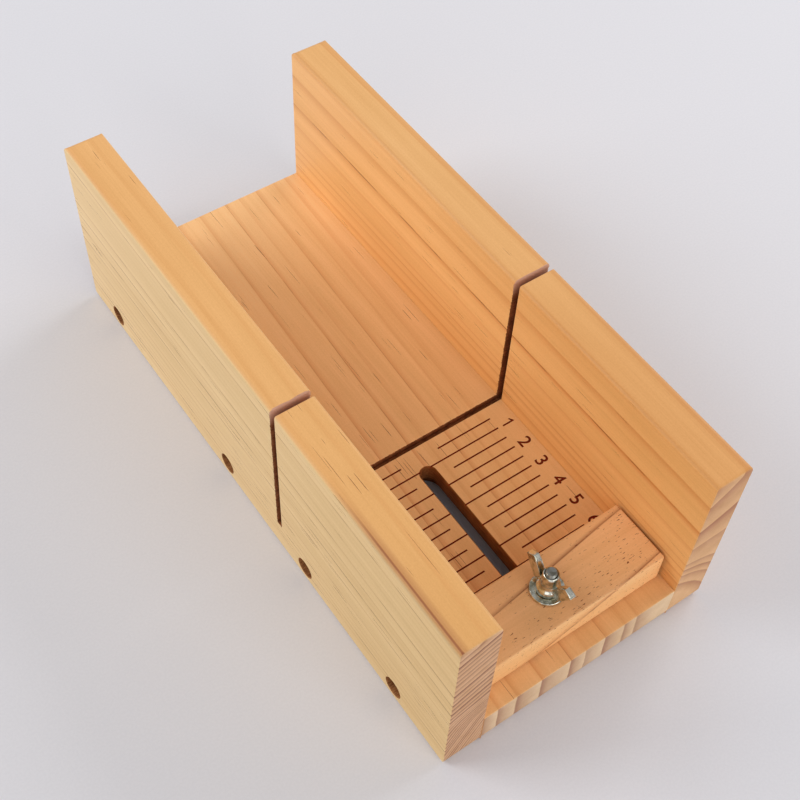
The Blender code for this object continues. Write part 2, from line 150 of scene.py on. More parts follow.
def mesh_of(bm, name):
    mesh = bpy.data.meshes.new(name)
    bm.to_mesh(mesh)
    bm.free()
    return mesh


def object_of(mesh, name):
    obj = bpy.data.objects.new(name, mesh)
    bpy.context.scene.collection.objects.link(obj)
    return obj


def evaluated_mesh(obj):
    """The mesh that obj's modifiers make; obj is removed."""
    bpy.context.view_layer.update()
    graph = bpy.context.evaluated_depsgraph_get()
    mesh = bpy.data.meshes.new_from_object(obj.evaluated_get(graph), depsgraph=graph)
    bpy.data.objects.remove(obj, do_unlink=True)
    return mesh


def cut_with(mesh, cutters, operation="DIFFERENCE", self_crossing=None):
    """Cuts mesh with closed meshes; faces that a cutter makes keep the cutter's material.

    self_crossing is the one cutter whose own parts run through each other.
    """
    body = object_of(mesh, "body")
    tools = []
    for cutter in cutters:
        tool = object_of(cutter, "tool")
        tools.append(tool)
        modifier = body.modifiers.new("cut", "BOOLEAN")
        modifier.operation = operation
        modifier.object = tool
        modifier.solver = "EXACT"
        modifier.use_self = cutter is self_crossing
        modifier.material_mode = "TRANSFER"
    result = evaluated_mesh(body)
    for tool in tools:
        bpy.data.objects.remove(tool, do_unlink=True)
    return result


def joined(name, meshes):
    bm = bmesh.new()
    for mesh in meshes:
        bm.from_mesh(mesh)
    return mesh_of(bm, name)


def painted(mesh, material):
    mesh.materials.clear()
    mesh.materials.append(material)
    return mesh


def closed_grid(name, rows, columns, point):
    """A closed solid between two sheets. point(side, row, column) is a corner, side 0 or 1."""
    bm = bmesh.new()
    sheets = [
        [[bm.verts.new(point(side, row, column)) for column in range(columns)] for row in range(rows)]
        for side in (0, 1)
    ]
    for sheet in sheets:
        for row in range(rows - 1):
            for column in range(columns - 1):
                bm.faces.new((
                    sheet[row][column], sheet[row][column + 1],
                    sheet[row + 1][column + 1], sheet[row + 1][column],
                ))
    near, far = sheets
    rim = [(0, column) for column in range(columns)]
    rim += [(row, columns - 1) for row in range(1, rows)]
    rim += [(rows - 1, column) for column in range(columns - 2, -1, -1)]
    rim += [(row, 0) for row in range(rows - 2, 0, -1)]
    for (r1, c1), (r2, c2) in zip(rim, rim[1:] + rim[:1]):
        bm.faces.new((near[r1][c1], near[r2][c2], far[r2][c2], far[r1][c1]))
    bmesh.ops.recalc_face_normals(bm, faces=bm.faces)
    return mesh_of(bm, name)


def closed_rings(bm, rings, name):
    """A solid whose skin runs from ring to ring of vertices, closed by the first and the last."""
    for lower, upper in zip(rings, rings[1:]):
        for k in range(len(lower)):
            n = (k + 1) % len(lower)
            bm.faces.new((lower[k], lower[n], upper[n], upper[k]))
    bm.faces.new(list(reversed(rings[0])))
    bm.faces.new(rings[-1])
    bmesh.ops.recalc_face_normals(bm, faces=bm.faces)
    return mesh_of(bm, name)


def turned(name, profile, steps):
    """A solid turned about Z from (radius, height) points."""
    bm = bmesh.new()
    points = [bm.verts.new((radius, 0.0, height)) for radius, height in profile]
    edges = [bm.edges.new(pair) for pair in zip(points, points[1:])]
    if profile[0][0] > 0:
        edges.append(bm.edges.new((points[-1], points[0])))
    bmesh.ops.spin(
        bm, geom=points + edges, axis=(0, 0, 1), cent=(0, 0, 0), angle=math.tau, steps=steps,
        use_merge=True,
    )
    bmesh.ops.remove_doubles(bm, verts=bm.verts, dist=SAME_PLACE)
    bmesh.ops.recalc_face_normals(bm, faces=bm.faces)
    return mesh_of(bm, name)


def rounded_box(name, low, high, radius_of, segments=5):
    """A box whose 12 edges each have their own rounding.

    radius_of((sx, sy, sz)) gets the side that the edge is on along each axis, 0 along its length.
    """
    bm = bmesh.new()
    size = high - low
    middle = (low + high) / 2
    bmesh.ops.create_cube(bm, size=1.0, matrix=Matrix.Translation(middle) @ Matrix.Diagonal((*size, 1)))
    weight = bm.edges.layers.float.new("bevel_weight_edge")
    radii = {}
    for edge in bm.edges:
        centre = (edge.verts[0].co + edge.verts[1].co) / 2 - middle
        sides = tuple(0 if abs(c) < s * 0.1 else (1 if c > 0 else -1) for c, s in zip(centre, size))
        radii[edge] = radius_of(sides)
    widest = max(radii.values())
    for edge, radius in radii.items():
        edge[weight] = radius / widest
    obj = object_of(mesh_of(bm, name), name)
    bevel = obj.modifiers.new("Rounded", "BEVEL")
    bevel.width = widest
    bevel.segments = segments
    bevel.limit_method = "WEIGHT"
    bevel.use_clamp_overlap = False
    return evaluated_mesh(obj)


def smooth_piece(mesh, name, angle=32, weighted=True):
    """An object from the mesh, smooth across soft edges and flat across its faces."""
    mesh.name = name
    mesh.shade_smooth()
    mesh.set_sharp_from_angle(angle=math.radians(angle))
    obj = object_of(mesh, name)
    if weighted:
        modifier = obj.modifiers.new("Flat faces", "WEIGHTED_NORMAL")
        modifier.keep_sharp = True
        modifier.weight = 80
    return obj


def place_piece(obj, body, slot, *nodes):
    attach(obj, body)
    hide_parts(*nodes)
    return obj


# ==== Materials ====

def srgb(red, green, blue):
    """A linear colour from 8-bit display values."""
    def linear(value):
        value /= 255
        return value / 12.92 if value <= 0.04045 else ((value + 0.055) / 1.055) ** 2.4
    return (linear(red), linear(green), linear(blue), 1.0)


RESIN = srgb(112, 40, 10)
OLD_RESIN = srgb(140, 72, 44)


# The mix node's number, vector and colour sockets share their names, so the colour ones go by place.
MIX_FIRST_COLOUR, MIX_SECOND_COLOUR, MIX_COLOUR = 6, 7, 2


class Shader:
    """A material and short names for the nodes it is made of."""

    def __init__(self, name):
        self.material = bpy.data.materials.new(name)
        self.material.use_nodes = True
        self.tree = self.material.node_tree
        self.surface = self.tree.nodes["Principled BSDF"]

    def feed(self, socket, value):
        if isinstance(value, bpy.types.NodeSocket):
            self.tree.links.new(value, socket)
        else:
            socket.default_value = value

    def set(self, **values):
        for name, value in values.items():
            self.feed(self.surface.inputs[name.replace("_", " ")], value)

    def math(self, operation, *values):
        node = self.tree.nodes.new("ShaderNodeMath")
        node.operation = operation
        for socket, value in zip(node.inputs, values):
            self.feed(socket, value)
        return node.outputs[0]

    def add(self, first, *others):
        for other in others:
            first = self.math("ADD", first, other)
        return first

    def times(self, first, *others):
        for other in others:
            first = self.math("MULTIPLY", first, other)
        return first

    def step(self, value, low, high, floor=0.0, top=1.0):
        """Rises smoothly from floor to top as value goes from low to high."""
        node = self.tree.nodes.new("ShaderNodeMapRange")
        node.interpolation_type = "SMOOTHSTEP"
        for name, amount in (
            ("Value", value), ("From Min", low), ("From Max", high), ("To Min", floor), ("To Max", top),
        ):
            self.feed(node.inputs[name], amount)
        return node.outputs["Result"]

    def mix(self, share, first, second, blend="MIX"):
        node = self.tree.nodes.new("ShaderNodeMix")
        node.data_type = "RGBA"
        node.blend_type = blend
        self.feed(node.inputs["Factor"], share)
        self.feed(node.inputs[MIX_FIRST_COLOUR], first)
        self.feed(node.inputs[MIX_SECOND_COLOUR], second)
        return node.outputs[MIX_COLOUR]

    def combine(self, x, y, z):
        node = self.tree.nodes.new("ShaderNodeCombineXYZ")
        for socket, value in zip(node.inputs, (x, y, z)):
            self.feed(socket, value)
        return node.outputs[0]

    def scaled(self, parts, *factors):
        """The vector of parts, each times its factor."""
        return self.combine(*[self.times(part, factor) for part, factor in zip(parts, factors)])

    def swing(self, value, reach):
        """value, which is 0 to 1, moved to swing by half of reach each way about 0."""
        return self.times(self.add(value, -0.5), reach)

    def split(self, vector):
        node = self.tree.nodes.new("ShaderNodeSeparateXYZ")
        self.feed(node.inputs[0], vector)
        return node.outputs[0], node.outputs[1], node.outputs[2]

    def noise(self, vector, detail=2.0, roughness=0.5):
        node = self.tree.nodes.new("ShaderNodeTexNoise")
        self.feed(node.inputs["Vector"], vector)
        node.inputs["Scale"].default_value = 1.0
        node.inputs["Detail"].default_value = detail
        node.inputs["Roughness"].default_value = roughness
        return node.outputs["Fac"]

    def random(self, value):
        node = self.tree.nodes.new("ShaderNodeTexWhiteNoise")
        node.noise_dimensions = "1D"
        self.feed(node.inputs["W"], value)
        return node.outputs["Value"]

    def ramp(self, value, stops):
        """Two profiles along value: stops are (place, first, second), in order, at most 32."""
        node = self.tree.nodes.new("ShaderNodeValToRGB")
        elements = node.color_ramp.elements
        elements.remove(elements[1])
        for number, (place, first, second) in enumerate(stops):
            element = elements.new(place) if number else elements[0]
            element.position = place
            element.color = (first, second, 0.0, 1.0)
        self.feed(node.inputs["Fac"], value)
        halves = self.tree.nodes.new("ShaderNodeSeparateColor")
        self.tree.links.new(node.outputs["Color"], halves.inputs["Color"])
        return halves.outputs["Red"], halves.outputs["Green"]

    def millimetres(self):
        """Object coordinates in millimetres: x, y, z."""
        node = self.tree.nodes.new("ShaderNodeTexCoord")
        scale = self.tree.nodes.new("ShaderNodeVectorMath")
        scale.operation = "SCALE"
        self.tree.links.new(node.outputs["Object"], scale.inputs[0])
        scale.inputs["Scale"].default_value = 1 / MM
        return self.split(scale.outputs[0])

    def normal(self):
        node = self.tree.nodes.new("ShaderNodeNewGeometry")
        return self.split(node.outputs["Normal"])

    def bump(self, height, distance, strength):
        node = self.tree.nodes.new("ShaderNodeBump")
        node.inputs["Strength"].default_value = strength
        node.inputs["Distance"].default_value = distance
        self.feed(node.inputs["Height"], height)
        self.tree.links.new(node.outputs[0], self.surface.inputs["Normal"])


def kinked_growth(outer, slope_high, slope_low, low, high):
    """Flat rings that lean one way above the height high and the other way below low."""
    def growth(shader, across, length, up):
        lean = shader.step(up, low, high, slope_low, slope_high)
        return shader.add(up, shader.times(shader.add(across, -outer), lean))
    return growth


def flat_growth(slope_across, slope_up, slope_along=0.0, twist=0.0, middle=(0.0, 0.0)):
    """Nearly flat rings, as far from the pith; twist turns them from one side to the other."""
    def growth(shader, across, length, up):
        dx = shader.add(across, -middle[0])
        dz = shader.add(up, -middle[1])
        return shader.add(
            shader.times(dx, slope_across), shader.times(dz, slope_up),
            shader.times(length, slope_along), shader.times(dx, dz, twist),
        )
    return growth


# Darkness along one ring from its inner to its outer edge: (place, on the long faces, on the end grain).
EVEN_RING = [
    (0.0, 0.0, 0.0), (0.30, 0.04, 0.10), (0.66, 0.30, 0.50),
    (0.86, 1.0, 1.0), (0.94, 0.9, 0.9), (1.0, 0.0, 0.0),
]


def even_rings(width, seed):
    """Rings of about one width; each is dark at its outer edge, and some are darker than others."""
    def band(shader, distance):
        uneven = shader.noise(shader.combine(shader.times(distance, 0.3 / width), seed, 0.0), detail=1.0)
        rings = shader.add(shader.times(distance, 1 / width), shader.times(uneven, 1.2))
        strength = shader.random(shader.add(shader.math("FLOOR", rings), seed))
        strength = shader.step(strength, 0.0, 1.0, 0.35, 1.0)
        narrow, broad = shader.ramp(shader.math("FRACT", rings), EVEN_RING)
        return shader.times(narrow, strength), shader.times(broad, shader.add(strength, 0.2))
    return band


def listed_rings(edges, strengths, late_width):
    """Rings that end at the given distances in millimetres, each as dark as its strength says.

    late_width is how wide the dark wood inside each edge is on the long faces.
    """
    low, high = edges[0], edges[-1]
    clean, sharp = 0.10, 0.14  # pale wood starts this far past an edge, and full darkness before it
    widest_share = 0.36  # of the ring

    def place(distance):
        return (distance - low) / (high - low)

    def band(shader, distance):
        stops = []
        for inner, outer, strength in zip(edges, edges[1:], strengths):
            wide = min(2.0 * late_width, widest_share * (outer - inner))
            stops.append((place(inner + clean), 0.0, 0.0))
            stops.append((place(outer - wide), 0.15 * strength, 0.50 * strength))
            stops.append((place(outer - sharp), strength, strength))
        share = shader.times(shader.add(distance, -low), 1 / (high - low))
        return shader.ramp(share, stops)
    return band


class Grain:
    """Where a point is in a board, and noise that is stretched along the board's fibres."""

    def __init__(self, shader, along, seed):
        x, y, self.up = shader.millimetres()
        nx, ny, self.upward = shader.normal()
        self.length, self.across, self.facing = (y, x, ny) if along == "Y" else (x, y, nx)
        self.shader = shader
        self.seed = seed

    def fibres(self, across_scale, length_scale, detail=2.0, roughness=0.5, offset=0.0):
        """Noise, 0 to 1; the scales are how fast it changes per millimetre."""
        shader = self.shader
        place = shader.combine(
            shader.times(self.across, across_scale), shader.times(self.length, length_scale),
            shader.add(shader.times(self.up, across_scale), self.seed + offset),
        )
        return shader.noise(place, detail=detail, roughness=roughness)


def resin_canals(shader, grain, cloud, canals):
    """Short dark dashes along the grain, in groups. canals is (breaks per millimetre, rarity)."""
    often, rare = canals
    threshold = shader.step(cloud, 0.40, 0.60, rare + 0.05, rare - 0.02)
    dashes = grain.fibres(3.9, often, detail=0.0, offset=5.0)
    return shader.step(dashes, threshold, shader.add(threshold, 0.03))


def resin_stain(shader, grain, streak, fine, stain):
    """How strongly a dark streak shows. stain is (across, height, near place, far place)."""
    across, up, near, far = stain
    dx = shader.add(grain.across, -across, shader.swing(streak, 1.6))
    dz = shader.add(grain.up, -up)
    away = shader.math("SQRT", shader.add(shader.times(dx, dx), shader.times(dz, dz)))
    core = shader.step(away, 0.25, 0.8, 0.85, 0.0)
    halo = shader.step(away, 0.5, 3.0, 0.35, 0.0)
    reach = shader.step(shader.add(grain.length, shader.times(fine, 14.0)), near, far, 1.0, 0.0)
    return shader.times(shader.math("MAXIMUM", core, halo), reach)


def uneven_tone(shader, colour, *swings):
    """colour times a brightness that varies by each (noise, reach); pale places are also bluer."""
    brightness = shader.add(1.0, *[shader.swing(value, reach) for value, reach in swings])
    tone = shader.combine(
        shader.math("POWER", brightness, 0.7), brightness, shader.math("POWER", brightness, 1.6),
    )
    return shader.mix(1.0, colour, tone, blend="MULTIPLY")


def board_tone(shader, grain, band, broad, streak, end, colours, top_shade, soft):
    """From early to late wood by the bands, with the end grain's own pair where fibres are cut, and the
    sun pair painted on upward faces as painted shade.
    """
    early, late, end_early, end_late = colours
    # Painted shade: faces turned upwards get a darker, more orange pair of wood colours.
    if top_shade:
        upward = shader.step(grain.upward, 0.35, 0.9)
        early = shader.mix(upward, early, top_shade[0])
        late = shader.mix(upward, late, top_shade[1])
    strength = shader.step(streak, 0.3, 0.7, 0.5 * soft, soft)
    depth = shader.times(shader.math("POWER", band, 1.7), strength)
    return shader.mix(end, shader.mix(depth, early, late), shader.mix(broad, end_early, end_late))


def drifted(shader, grain, cloud, colour, near_end_shade_and_tone):
    """colour, tinted darker and warmer towards the near end: painted shade where the light falls off,
    partly the wood's own tone; drift is (near place, far place, tint).
    """
    near, far, tint = near_end_shade_and_tone
    place = shader.add(grain.length, shader.swing(cloud, 90.0))
    toned = shader.mix(1.0, colour, tint, blend="MULTIPLY")
    return shader.mix(shader.step(place, near, far, 1.0, 0.0), colour, toned)


def pine(
    name, growth, rings, colours, canals, along="Y", seed=0.0, wander=2.4, top_shade=None, near_end_shade_and_tone=None,
    soft=1.0, stain=None,
):
    """Pine from one log: rings across the grain, fibres and resin canals along it.

    growth gives the distance from the pith and rings the darkness there, so a ring that crosses an
    edge shows on both faces. colours are early wood, late wood and the end grain's pair. canals,
    drift and stain are as in resin_canals, drifted and resin_stain; drift is painted shade towards
    the near end, partly the wood's own tone. wander is how far the rings stray. sun is the darker,
    more orange pair painted on faces turned upwards: painted shade. soft is how strongly the bands
    show on faces along the grain.
    """
    shader = Shader(name)
    grain = Grain(shader, along, seed)
    bend = shader.swing(grain.fibres(0.02, 0.006, detail=1.0), 2 * wander)
    jitter = shader.swing(grain.fibres(0.25, 0.02, detail=1.0), 0.5)
    distance = shader.add(growth(shader, grain.across, grain.length, grain.up), bend, jitter)
    band, broad = rings(shader, distance)

    grit = grain.fibres(3.2, 1.4, detail=1.0)
    fine = grain.fibres(1.7, 0.03, detail=3.0, roughness=0.62)
    streak = grain.fibres(0.22, 0.004, detail=3.0)
    cloud = grain.fibres(0.03, 0.012)
    canal = resin_canals(shader, grain, cloud, canals)
    breaks = grain.fibres(1.3, 0.07, detail=1.0, offset=9.0)
    edge_line = shader.times(shader.step(band, 0.78, 0.98), shader.step(breaks, 0.44, 0.56))

    end = shader.step(shader.math("ABSOLUTE", grain.facing), 0.55, 0.92)
    side = shader.step(end, 0.0, 1.0, 1.0, 0.0)
    colour = board_tone(shader, grain, band, broad, streak, end, colours, top_shade, soft)
    # Painted shade, partly the wood's own tone: darker and warmer towards the near end.
    if near_end_shade_and_tone:
        colour = drifted(shader, grain, cloud, colour, near_end_shade_and_tone)
    colour = uneven_tone(shader, colour, (fine, 0.22), (streak, 0.34), (cloud, 0.14), (grit, 0.20))
    marks = shader.math("MAXIMUM", shader.times(edge_line, 0.75), shader.times(canal, 0.9))
    colour = shader.mix(shader.times(marks, side), colour, RESIN)
    if stain:
        share = shader.times(resin_stain(shader, grain, streak, fine, stain), side)
        colour = shader.mix(share, colour, OLD_RESIN)

    roughness = shader.add(
        0.46, shader.times(fine, 0.14), shader.times(band, -0.06), shader.times(end, 0.14),
        shader.times(canal, 0.3),
    )
    shader.bump(shader.add(shader.times(fine, 0.5), shader.times(band, 0.3)), 0.1 * MM, 0.4)
    shader.set(Base_Color=colour, Roughness=roughness, Specular_IOR_Level=0.35)
    return shader.material


def sawn_wood(name, pale, dark, along_saw, mouth=None):
    """End grain left by a blade: dark, matt and scored. mouth is (low, high, colour) up a kerf: painted
    light, the wood painted paler towards the kerf's mouth, where more light falls in, and left darker
    deeper down.
    """
    shader = Shader(name)
    place = shader.millimetres()
    scratch = shader.noise(shader.scaled(place, *along_saw), detail=3.0)
    patches = shader.noise(shader.scaled(place, 0.25, 0.25, 0.25))
    share = shader.step(shader.add(shader.times(scratch, 0.6), shader.times(patches, 0.4)), 0.3, 0.7)
    colour = shader.mix(share, pale, dark)
    if mouth:
        # Painted light: paler wood towards the top of a kerf stands in for the light falling in at its
        # mouth.
        low, high, light = mouth
        colour = shader.mix(shader.step(place[2], low, high, 0.0, 0.9), colour, light)
    shader.set(
        Base_Color=colour, Roughness=shader.step(scratch, 0.2, 0.8, 0.7, 0.95), Specular_IOR_Level=0.2,
    )
    shader.bump(scratch, 0.2 * MM, 0.6)
    return shader.material


def scorched_wood(name, char, brown):
    """The floor and sides of a burned-in line."""
    shader = Shader(name)
    soot = shader.noise(shader.scaled(shader.millimetres(), 2.2, 2.2, 2.2), detail=3.0)
    shader.set(Base_Color=shader.mix(shader.step(soot, 0.35, 0.7), char, brown))
    shader.set(Roughness=shader.step(soot, 0.2, 0.8, 0.75, 0.95), Specular_IOR_Level=0.2)
    shader.bump(soot, 0.1 * MM, 0.5)
    return shader.material


def plated_metal(name, bright, dull, roughness):
    """Zinc-plated steel: cloudy plating with fine tooling marks, dull in patches."""
    shader = Shader(name)
    place = shader.millimetres()
    marks = shader.noise(shader.scaled(place, 5.0, 5.0, 5.0), detail=3.0)
    cloud = shader.noise(shader.scaled(place, 0.5, 0.5, 0.5), detail=2.0)
    wear = shader.step(shader.add(shader.times(cloud, 0.8), shader.times(marks, 0.2)), 0.42, 0.64)
    shader.set(Base_Color=shader.mix(wear, bright, dull), Metallic=1.0)
    shader.set(Roughness=shader.step(wear, 0.0, 1.0, roughness, roughness + 0.10))
    shader.bump(marks, 0.01 * MM, 0.15)
    return shader.material


# ==== Boards ====

base_low, base_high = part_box("base_board")
left_low, left_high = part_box("left_wall")
right_low, right_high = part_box("right_wall")
BED_TOP = base_high.z
NEAR_END = left_low.y
KERF_NEAR = NEAR_END + KERF_FROM_NEAR_END
KERF_MIDDLE = KERF_NEAR + KERF_WIDTH / 2
KERF_FLOOR = BED_TOP - KERF_DEPTH_IN_BASE


def kerf_side(side, along, depth_in, seed):
    """Y of one side of the kerf: torn wider close to the face, straight further in."""
    direction = -1 if side == 0 else 1
    flare = KERF_FLARE * math.exp(-depth_in / KERF_FLARE_DEPTH)
    tear = noise.noise(Vector((along / KERF_TEAR_LENGTH, seed, direction * 3.7)))
    tear += 0.6 * noise.noise(Vector((along / KERF_SPLINTER_LENGTH, seed + 9, direction * 5.1)))
    ragged = KERF_RAGGED * tear * (0.35 + math.exp(-depth_in / KERF_RAGGED_DEPTH))
    return KERF_MIDDLE + direction * (KERF_WIDTH / 2 + flare * (1 + 0.6 * tear)) + ragged


def stations(low, high):
    """Places from low to high with close ones at the faces, where the kerf's edge is torn."""
    close = (*NEAR_FACE, 1.2 * MM)
    inset, spans = 1.6 * MM, 4
    start, end = low + inset, high - inset
    places = [low - CUT_MARGIN]
    places += [low + depth for depth in close]
    places += [start + (end - start) * k / spans for k in range(spans + 1)]
    places += [high - depth for depth in reversed(close)]
    places.append(high + CUT_MARGIN)
    return places


def wall_kerf(low, high, seed):
    levels = [KERF_FLOOR]
    spacing = 0.22 * MM
    count = int((high.z - 1.0 * MM - KERF_FLOOR) / spacing)
    levels += [KERF_FLOOR + spacing * (k + 1) for k in range(count)]
    levels += [high.z - depth for depth in reversed(NEAR_FACE)]
    levels.append(high.z + CUT_MARGIN)
    across = stations(low.x, high.x)

    def point(side, row, column):
        x, z = across[column], levels[row]
        depth_in = max(0.0, min(x - low.x, high.x - x, high.z - z))
        along = z + x * (1.0 if high.z - z < 1.2 * MM else 0.04)
        return Vector((x, kerf_side(side, along, depth_in, seed), z))

    return closed_grid("wall_kerf", len(levels), len(across), point)


def bed_kerf(low, high):
    spacing = 0.3 * MM
    start, end = low.x - CUT_MARGIN, high.x + CUT_MARGIN
    count = int((end - start) / spacing)
    along = [start + (end - start) * k / count for k in range(count + 1)]
    depths = [-CUT_MARGIN, *NEAR_FACE, 1.2 * MM, KERF_DEPTH_IN_BASE]

    def point(side, row, column):
        x, depth = along[row], depths[column]
        straight = kerf_side(side, x, max(0.0, depth) + 0.25 * MM, 4.0)
        return Vector((x, straight, BED_TOP - depth))

    return closed_grid("bed_kerf", len(along), len(depths), point)


def screws_of(side):
    """The CAD's screw nodes in one wall: side -1 is the left, 1 the right."""
    word = "left" if side < 0 else "right"
    return [f"{word}_screw_{number}" for number in range(1, SCREWS_PER_SIDE + 1)]


def counterbore(side, screw):
    """The recess, its drilled floor and the shank hole of one screw, opening at the outer face."""
    low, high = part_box(screw)
    y, z = (low.y + high.y) / 2, (low.z + high.z) / 2
    inner, outer = right_low.x, right_high.x
    shank = SHANK_RADIUS + SHANK_CLEARANCE
    profile = [
        (0.0, outer + CUT_MARGIN), (COUNTERBORE_RADIUS + BORE_CHAMFER, outer + CUT_MARGIN),
        (COUNTERBORE_RADIUS + BORE_CHAMFER, outer), (COUNTERBORE_RADIUS, outer - BORE_CHAMFER),
        (COUNTERBORE_RADIUS, outer - COUNTERBORE_DEPTH), (shank, outer - COUNTERBORE_DEPTH),
        (shank, inner - CUT_MARGIN), (0.0, inner - CUT_MARGIN),
    ]
    mesh = turned("counterbore", profile, 48)
    turn = Matrix.Rotation(side * math.pi / 2, 4, "Y")
    mesh.transform(Matrix.Translation((0, y, z)) @ turn)
    return mesh


def wall_radius(sides):
    sx, sy, sz = sides
    if sx == 0:
        return {
            (-1, -1): NEAR_LOW_ROUND, (1, -1): FAR_LOW_ROUND,
            (1, 1): FAR_HIGH_ROUND, (-1, 1): NEAR_HIGH_ROUND,
        }[(sy, sz)]
    return WALL_EASE if sy == 0 else WALL_END_EASE


def make_wall(name, node, side, wood, kerf_material, bore_material):
    low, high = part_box(node)
    mesh = painted(rounded_box(name, low, high, wall_radius, segments=6), wood)
    kerf = painted(wall_kerf(low, high, seed=side * 2.5), kerf_material)
    bores = joined("bores", [counterbore(side, screw) for screw in screws_of(side)])
    mesh = cut_with(mesh, [kerf, painted(bores, bore_material)])
    return place_piece(smooth_piece(mesh, name), "trough", "wall_pine", node)


def stadium(name, y_near, y_far, levels, steps=20):
    """A slot-shaped solid about SLOT_X; levels lists (height, half width)."""
    bm = bmesh.new()
    rings = []
    for z, half in levels:
        arc = [math.pi * step / steps for step in range(steps + 1)]
        far = [(half * math.cos(a), y_far + half * math.sin(a)) for a in arc]
        near = [(-half * math.cos(a), y_near - half * math.sin(a)) for a in arc]
        rings.append([bm.verts.new((SLOT_X + x, y, z)) for x, y in far + near])
    return closed_rings(bm, rings, name)


def groove(x_low, x_high, y):
    """One engraved line: a shallow trough with sloping sides."""
    bm = bmesh.new()
    place = Matrix.Translation(((x_low + x_high) / 2, y, BED_TOP))
    size = Matrix.Diagonal((x_high - x_low, LINE_WIDTH, 2 * ENGRAVING_DEPTH, 1))
    bmesh.ops.create_cube(bm, size=1.0, matrix=place @ size)
    for vertex in bm.verts:
        slope = GROOVE_FLOOR if vertex.co.z < BED_TOP else GROOVE_MOUTH
        vertex.co.y = y + (vertex.co.y - y) * slope
    return mesh_of(bm, "groove")


def font_digit(number):
    """A digit of the plain built-in font with its strokes thickened."""
    curve = bpy.data.curves.new(f"digit_{number}", "FONT")
    curve.body = str(number)
    curve.align_x = "CENTER"
    curve.size = DIGIT_HEIGHT / DIGIT_SHARE_OF_FONT
    curve.extrude = ENGRAVING_DEPTH
    curve.resolution_u = 6
    bm = bmesh.new()
    bm.from_mesh(evaluated_mesh(object_of(curve, "digit")))
    bmesh.ops.remove_doubles(bm, verts=bm.verts, dist=SAME_PLACE)
    bmesh.ops.recalc_face_normals(bm, faces=bm.faces)
    moves = []
    for vertex in bm.verts:
        sides = [face.normal for face in vertex.link_faces if abs(face.normal.z) < 0.5]
        outwards = sum(sides, Vector()).normalized()
        moves.append((vertex, outwards / max(0.6, outwards.dot(sides[0]))))
    for vertex, move in moves:
        vertex.co += move * DIGIT_SWELL
    return mesh_of(bm, "digit")


def flagged_one():
    """The digit one: an upright stroke with a short flag on its left."""
    half, top = DIGIT_STROKE / 2, DIGIT_HEIGHT
    reach, drop = 0.30 * DIGIT_HEIGHT, 0.20 * DIGIT_HEIGHT
    outline = [
        (-half, 0.0), (half, 0.0), (half, top), (-0.1 * half, top), (-reach, top - drop),
        (-reach, top - drop - DIGIT_STROKE), (-half, top - 1.5 * DIGIT_STROKE),
    ]
    bm = bmesh.new()
    foot = bm.faces.new([bm.verts.new((x, y, -ENGRAVING_DEPTH)) for x, y in outline])
    raised = bmesh.ops.extrude_face_region(bm, geom=[foot])["geom"]
    lifted = [v for v in raised if isinstance(v, bmesh.types.BMVert)]
    bmesh.ops.translate(bm, verts=lifted, vec=(0, 0, 2 * ENGRAVING_DEPTH))
    bmesh.ops.recalc_face_normals(bm, faces=bm.faces)
    return mesh_of(bm, "digit")


def digit(number):
    mesh = flagged_one() if number == 1 else font_digit(number)
    y = KERF_NEAR - 2 * number * SCALE_STEP - DIGIT_PAST_LINE
    place = Matrix.Translation((DIGIT_BASELINE, y, BED_TOP))
    mesh.transform(place @ Matrix.Rotation(-math.pi / 2, 4, "Z"))
    return mesh


def scale_engraving():
    """Whole centimetres start at the slot, half centimetres further out."""
    grooves = []
    for number in range(1, SCALE_LINES + 1):
        y = KERF_NEAR - number * SCALE_STEP
        whole = number % 2 == 0
        grooves.append(groove(SLOT_X if whole else SHORT_RIGHT_START, SCALE_RIGHT_END, y))
        grooves.append(groove(SCALE_LEFT_END, SLOT_X - LINE_WIDTH if whole else SHORT_LEFT_START, y))
    digits = [digit(n) for n in range(1, SCALE_LINES // 2 + 1)]
    return joined("engraving", grooves + digits)


def bed_radius(sides):
    sx, sy, sz = sides
    if sx == 0 and sz < 0:
        return NEAR_LOW_ROUND if sy < 0 else FAR_LOW_ROUND
    if sx == 0:
        return BED_EASE if sy < 0 else BED_FAR_EASE
    return BED_SIDE_EASE


def pilot_hole(side, screw):
    low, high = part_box(screw)
    y, z = (low.y + high.y) / 2, (low.z + high.z) / 2
    radius = SHANK_RADIUS + SHANK_CLEARANCE
    point = ((high.x - low.x) / 2 + CUT_MARGIN) * PILOT_POINT
    mouth = right_low.x + CUT_MARGIN
    tip = min(abs(low.x), abs(high.x)) - CUT_MARGIN
    mesh = turned("pilot", [(0.0, mouth), (radius, mouth), (radius, tip + point), (0.0, tip)], 24)
    mesh.transform(Matrix.Translation((0, y, z)) @ Matrix.Rotation(side * math.pi / 2, 4, "Y"))
    return mesh


def slot_cutters(base_bottom):
    """The slot through the board's top and the wide recess under it, both with eased mouths."""
    near, far = KERF_NEAR - SLOT_NEAR_FROM_KERF, KERF_NEAR - SLOT_FAR_FROM_KERF
    ceiling = BED_TOP - SLOT_LIP
    half, wide = SLOT_WIDTH / 2, RECESS_WIDTH / 2
    slot = stadium("slot", near + half, far - half, [
        (ceiling - CUT_MARGIN, half), (BED_TOP - SLOT_EASE, half),
        (BED_TOP - 0.3 * SLOT_EASE, half + 0.3 * SLOT_EASE),
        (BED_TOP, half + SLOT_EASE), (BED_TOP + CUT_MARGIN, half + SLOT_EASE),
    ])
    recess = stadium("recess", near - RECESS_OVERRUN + wide, far + RECESS_OVERRUN - wide, [
        (base_bottom - CUT_MARGIN, wide + SLOT_EASE), (base_bottom, wide + SLOT_EASE),
        (base_bottom + SLOT_EASE, wide), (ceiling, wide),
    ])
    return [slot, recess]


